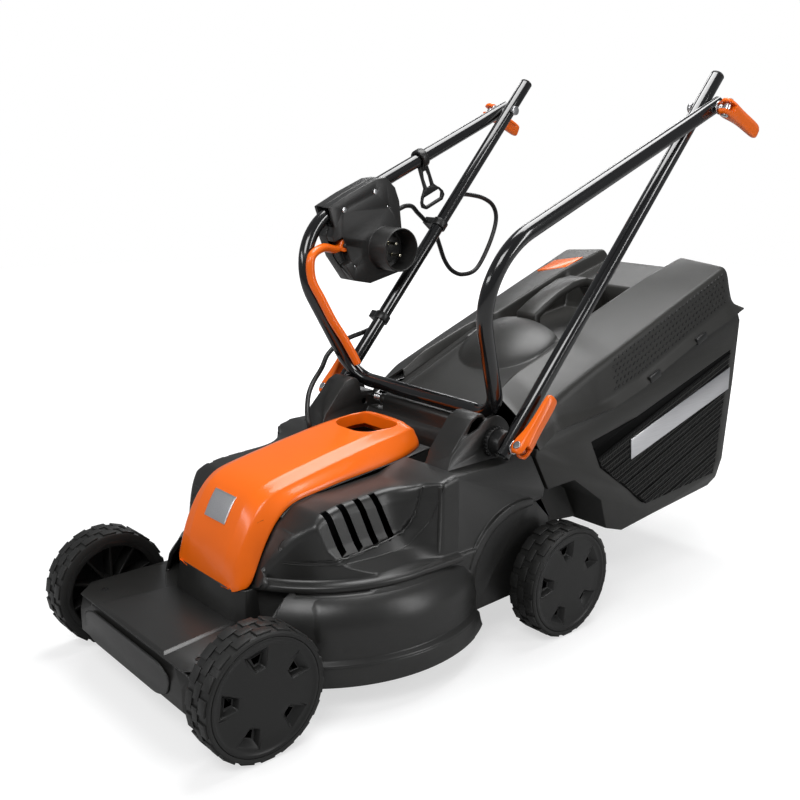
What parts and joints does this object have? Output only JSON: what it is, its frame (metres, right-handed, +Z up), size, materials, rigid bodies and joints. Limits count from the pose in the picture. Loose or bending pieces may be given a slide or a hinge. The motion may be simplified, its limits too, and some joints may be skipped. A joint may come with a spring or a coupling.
{
  "type": "push lawn mower",
  "caption": "Electric push lawn mower with an orange motor cover, a rear grass catcher, turning wheels and a folding two-part handle.",
  "frame": {"origin": "on the ground under the middle of the whole mower, half way between the front of the front wheels and the rear lip of the grass catcher", "axes": "+X to the mower's left side, -Y to its front, +Z up"},
  "size_m": [0.4592, 0.972, 0.7254],
  "materials": {
    "deck_plastic": "satin",
    "orange_plastic": "gloss",
    "catcher_plastic": "satin",
    "mesh_plastic": "satin",
    "wheel_plastic": "matte",
    "black_tube": "gloss",
    "black_plastic": "satin",
    "switch_plastic": "satin",
    "silver_plate": "satin",
    "steel": "satin",
    "pin_metal": "polished",
    "motor_metal": "satin",
    "cable_rubber": "satin"
  },
  "bodies": {
    "deck": {"deck_housing": "deck_plastic", "motor_cover": "orange_plastic", "cover_badge": "silver_plate", "cover_screws": "steel", "motor_can": "motor_metal", "motor_screws": "steel", "front_axle": "steel", "rear_axle": "steel", "axle_nuts": "steel", "flap_rod": "steel", "flap_springs": "steel", "toothed_discs": "black_plastic", "lower_bolts": "steel", "cable_deck": "cable_rubber"},
    "rotor": {"rotor_shaft": "steel", "cooling_fan": "black_plastic", "blade_holder": "black_plastic", "cutting_blade": "steel", "blade_bolt": "steel"},
    "wheel_front_left": {"tread_fl": "wheel_plastic", "wheel_fl": "wheel_plastic", "disc_fl": "wheel_plastic"},
    "wheel_front_right": {"tread_fr": "wheel_plastic", "wheel_fr": "wheel_plastic", "disc_fr": "wheel_plastic"},
    "wheel_rear_left": {"tread_rl": "wheel_plastic", "wheel_rl": "wheel_plastic", "disc_rl": "wheel_plastic"},
    "wheel_rear_right": {"tread_rr": "wheel_plastic", "wheel_rr": "wheel_plastic", "disc_rr": "wheel_plastic"},
    "flap": {"rear_flap": "catcher_plastic"},
    "catcher": {"catcher_tub": "catcher_plastic", "catcher_lid": "catcher_plastic", "mesh_left": "mesh_plastic", "mesh_right": "mesh_plastic", "side_plates": "silver_plate", "carry_handle": "catcher_plastic", "lid_clips": "catcher_plastic"},
    "level": {"level_flap": "orange_plastic"},
    "lower_handle": {"lower_tube_left": "black_tube", "lower_tube_right": "black_tube", "tube_plugs": "black_plastic", "tube_feet": "black_plastic", "upper_bolts": "steel", "cable_clips": "black_plastic", "cable_handle": "cable_rubber"},
    "upper_handle": {"upper_tube": "black_tube", "switch_box": "switch_plastic", "switch_back": "switch_plastic", "switch_screws": "steel", "plug_pins": "pin_metal", "cable_switch": "cable_rubber"},
    "cam_lower_l": {"cam_lower_left": "orange_plastic"},
    "cam_lower_r": {"cam_lower_right": "orange_plastic"},
    "cam_upper_l": {"cam_upper_left": "orange_plastic"},
    "cam_upper_r": {"cam_upper_right": "orange_plastic"},
    "bail": {"bail_lever": "orange_plastic"},
    "button": {"lock_button": "orange_plastic"},
    "hook": {"cable_hook": "black_plastic"}
  },
  "joints": [
    {"name": "rotor_spin", "type": "hinge", "parent": "deck", "child": "rotor", "pos_m": [0, -0.189, 0.064], "axis": [0, 0, 1], "continuous": true},
    {"name": "wheel_front_left_spin", "type": "hinge", "parent": "deck", "child": "wheel_front_left", "pos_m": [0.178, -0.411, 0.075], "axis": [1, 0, 0], "continuous": true},
    {"name": "wheel_front_right_spin", "type": "hinge", "parent": "deck", "child": "wheel_front_right", "pos_m": [-0.178, -0.411, 0.075], "axis": [1, 0, 0], "continuous": true},
    {"name": "wheel_rear_left_spin", "type": "hinge", "parent": "deck", "child": "wheel_rear_left", "pos_m": [0.195, 0.05, 0.075], "axis": [1, 0, 0], "continuous": true},
    {"name": "wheel_rear_right_spin", "type": "hinge", "parent": "deck", "child": "wheel_rear_right", "pos_m": [-0.195, 0.05, 0.075], "axis": [1, 0, 0], "continuous": true},
    {"name": "flap_lift", "type": "hinge", "parent": "deck", "child": "flap", "pos_m": [0, -0.019, 0.276], "axis": [1, 0, 0], "range_deg": [0, 33], "stiffness_Nm_per_rad": 0.4, "springref_deg": -20.05},
    {"name": "catcher_lift_off", "type": "slide", "parent": "deck", "child": "catcher", "axis": [0, 0.9219, 0.3875], "range_m": [0, 0.12]},
    {"name": "level_flap_lift", "type": "hinge", "parent": "catcher", "child": "level", "pos_m": [-0.112, 0.361, 0.42473], "axis": [0.9836, 0, 0.1804], "range_deg": [0, 20]},
    {"name": "lower_handle_tilt", "type": "hinge", "parent": "deck", "child": "lower_handle", "pos_m": [0, -0.035, 0.27], "axis": [1, 0, 0], "range_deg": [-12, 12], "deforming": ["cable_deck"]},
    {"name": "upper_handle_fold", "type": "hinge", "parent": "lower_handle", "child": "upper_handle", "pos_m": [0, 0.32, 0.6755], "axis": [-1, 0, 0], "range_deg": [0, 153], "deforming": ["cable_switch"]},
    {"name": "cam_lower_left_turn", "type": "hinge", "parent": "deck", "child": "cam_lower_l", "pos_m": [0.1986, -0.035, 0.27], "axis": [0, 0.7524, -0.6587], "range_deg": [0, 120]},
    {"name": "cam_lower_right_turn", "type": "hinge", "parent": "deck", "child": "cam_lower_r", "pos_m": [-0.1986, -0.035, 0.27], "axis": [0, -0.7524, 0.6587], "range_deg": [0, 120]},
    {"name": "cam_upper_left_turn", "type": "hinge", "parent": "lower_handle", "child": "cam_upper_l", "pos_m": [0.2196, 0.32, 0.6755], "axis": [0, -0.4226, -0.9063], "range_deg": [0, 120]},
    {"name": "cam_upper_right_turn", "type": "hinge", "parent": "lower_handle", "child": "cam_upper_r", "pos_m": [-0.2196, 0.32, 0.6755], "axis": [0, 0.4226, 0.9063], "range_deg": [0, 120]},
    {"name": "bail_pull", "type": "hinge", "parent": "upper_handle", "child": "bail", "pos_m": [-0.186, -0.0123, 0.4845], "axis": [-1, 0, 0], "range_deg": [0, 4.5], "stiffness_Nm_per_rad": 2, "springref_deg": -3.44},
    {"name": "button_press", "type": "slide", "parent": "upper_handle", "child": "button", "axis": [1, 0, 0], "range_m": [0, 0.003], "stiffness_N_per_m": 300, "springref_m": -0.002},
    {"name": "hook_swing", "type": "hinge", "parent": "upper_handle", "child": "hook", "pos_m": [-0.1946, 0.1462, 0.6039], "axis": [-0.0129, 0.9245, 0.381], "range_deg": [-3, 100]}
  ]
}
